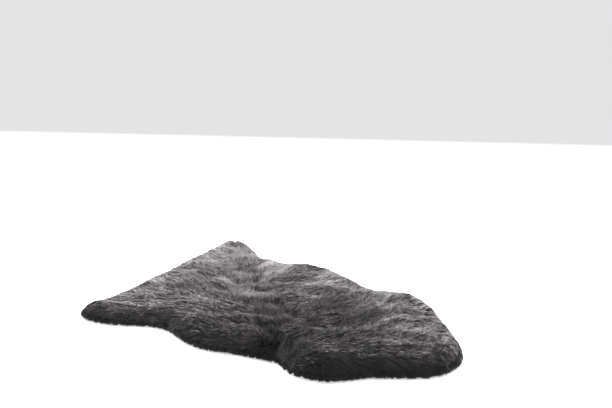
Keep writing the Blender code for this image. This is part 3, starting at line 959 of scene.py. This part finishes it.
fibre, tree, shader = new_material(
    "dyed_wool_fibre", sheen=0.12, sheen_roughness=0.45, sheen_tint=(0.95, 0.92, 0.95, 1), specular=0.25
)
along = node(tree, "ShaderNodeAttribute", (-700, 200), attribute_name="along")
tone = node(tree, "ShaderNodeAttribute", (-700, -250), attribute_name="tone")
colour = dyed(tree, along.outputs["Fac"], tone.outputs["Fac"])
tree.links.new(colour.outputs["Color"], shader.inputs["Base Color"])
tree.links.new(colour.outputs["Roughness"], shader.inputs["Roughness"])

deep, tree, shader = new_material("dyed_wool_body", roughness=0.95, specular=0.1)
place = node(tree, "ShaderNodeTexCoord", (-1100, -300))
stretch = node(tree, "ShaderNodeMapping", (-900, -300))
stretch.inputs["Rotation"].default_value = (0.0, 0.0, math.radians(60))
stretch.inputs["Scale"].default_value = (160.0, 900.0, 300.0)
streaks = noise(tree, (-700, -300), 1.0, 4.0)
tree.links.new(place.outputs["Object"], stretch.inputs["Vector"])
tree.links.new(stretch.outputs[0], streaks.inputs["Vector"])
shade = maths(tree, (-560, -160), "ADD", streaks.outputs[0], 0.35)
colour = dyed(tree, 0.12, shade)
tree.links.new(colour.outputs["Color"], shader.inputs["Base Color"])
bumped(tree, (-250, -300), streaks.outputs[0], 0.9, 2 * MM, shader)
print("wool materials made")

# %% [markdown]
# The underside is the flesh side of the skin: soft suede, buffed to a short nap
# and dyed along with the wool.

# %% The suede of the hide
suede, tree, shader = new_material("dyed_suede", roughness=0.9, sheen=0.3, sheen_roughness=0.5, specular=0.2)
place = node(tree, "ShaderNodeTexCoord", (-1100, 0))
cloudy = noise(tree, (-900, 150), 9.0, 6.0)
nap = noise(tree, (-900, -150), 420.0, 3.0)
for texture in (cloudy, nap):
    tree.links.new(place.outputs["Object"], texture.inputs["Vector"])
ramp = node(tree, "ShaderNodeValToRGB", (-600, 150))
ramp.color_ramp.elements[0].position, ramp.color_ramp.elements[0].color = 0.30, (0.20, 0.175, 0.16, 1)
ramp.color_ramp.elements[1].position, ramp.color_ramp.elements[1].color = 0.72, (0.34, 0.305, 0.28, 1)
tree.links.new(cloudy.outputs[0], ramp.inputs[0])
tree.links.new(ramp.outputs[0], shader.inputs["Base Color"])
bumped(tree, (-350, -200), nap.outputs[0], 0.5, 0.6 * MM, shader)
hide.data.materials.append(suede)
body.data.materials.append(deep)
for piece in wool:
    piece.data.materials.append(fibre)

# %% [markdown]
# ## Join the pieces to the model
#
# All pieces ride on the one body that the imported model has. The wool takes the
# solid's place, which stays behind it for collisions.

# %% Ride, replace
for piece in (hide, body, *wool):
    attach(piece, "root")
for piece in (body, *wool):
    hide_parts("sheepskin")

# %% [markdown]
# ## Floor and light
#
# A plain pale floor, and soft light from high behind and left of the rug, so
# that the far edges glow and the front of the wool stays dark. A faint even
# light from all round fills the shadows. For camera rays alone the floor glows
# and the world is brighter, so neither lights the wool any more for it. Behind
# the light, where none of its beam falls, the floor still shows pale grey.

# %% Floor
floor_mesh = bpy.data.meshes.new("floor")
floor_mesh.from_pydata([(-20, -20, 0), (20, -20, 0), (20, 20, 0), (-20, 20, 0)], [], [(0, 1, 2, 3)])
floor = bpy.data.objects.new("floor", floor_mesh)
scene.collection.objects.link(floor)
pale, tree, shader = new_material("pale_floor", roughness=0.9, specular=0.1)
ray = node(tree, "ShaderNodeLightPath", (-600, 200))
seen = node(tree, "ShaderNodeMix", (-300, 100), data_type="RGBA")
seen.inputs[6].default_value = (0.35, 0.35, 0.35, 1)
seen.inputs[7].default_value = (0.80, 0.80, 0.80, 1)
tree.links.new(ray.outputs["Is Camera Ray"], seen.inputs[0])
tree.links.new(seen.outputs[2], shader.inputs["Base Color"])
glow = maths(tree, (-300, -150), "MULTIPLY", ray.outputs["Is Camera Ray"], 0.6)
tree.links.new(glow, shader.inputs["Emission Strength"])
shader.inputs["Emission Color"].default_value = (1, 1, 1, 1)
floor.data.materials.append(pale)

# %% Lights
def soft_box(name, place, aim, width, height, watts):
    """A rectangular light at a place, turned so that it shines at the aim."""
    light = bpy.data.lights.new(name, "AREA")
    light.shape = "RECTANGLE"
    light.size, light.size_y, light.energy = width, height, watts
    lamp = bpy.data.objects.new(name, light)
    lamp.location = place
    lamp.rotation_euler = (Vector(aim) - Vector(place)).to_track_quat("-Z", "Y").to_euler()
    lamp.visible_camera = False
    scene.collection.objects.link(lamp)
    return lamp


soft_box("behind", (-0.8, 1.15, 1.05), (0.0, 0.1, 0.0), 3.6, 2.0, 242)
world = bpy.data.worlds.new("studio")
world.use_nodes = True
world.node_tree.nodes["Background"].inputs["Color"].default_value = (1, 1, 1, 1)
ray = node(world.node_tree, "ShaderNodeLightPath", (-600, 0))
seen = maths(world.node_tree, (-400, 0), "MULTIPLY", ray.outputs["Is Camera Ray"], 0.75)
seen = maths(world.node_tree, (-200, 0), "ADD", seen, 0.22)
world.node_tree.links.new(seen, world.node_tree.nodes["Background"].inputs["Strength"])
scene.world = world
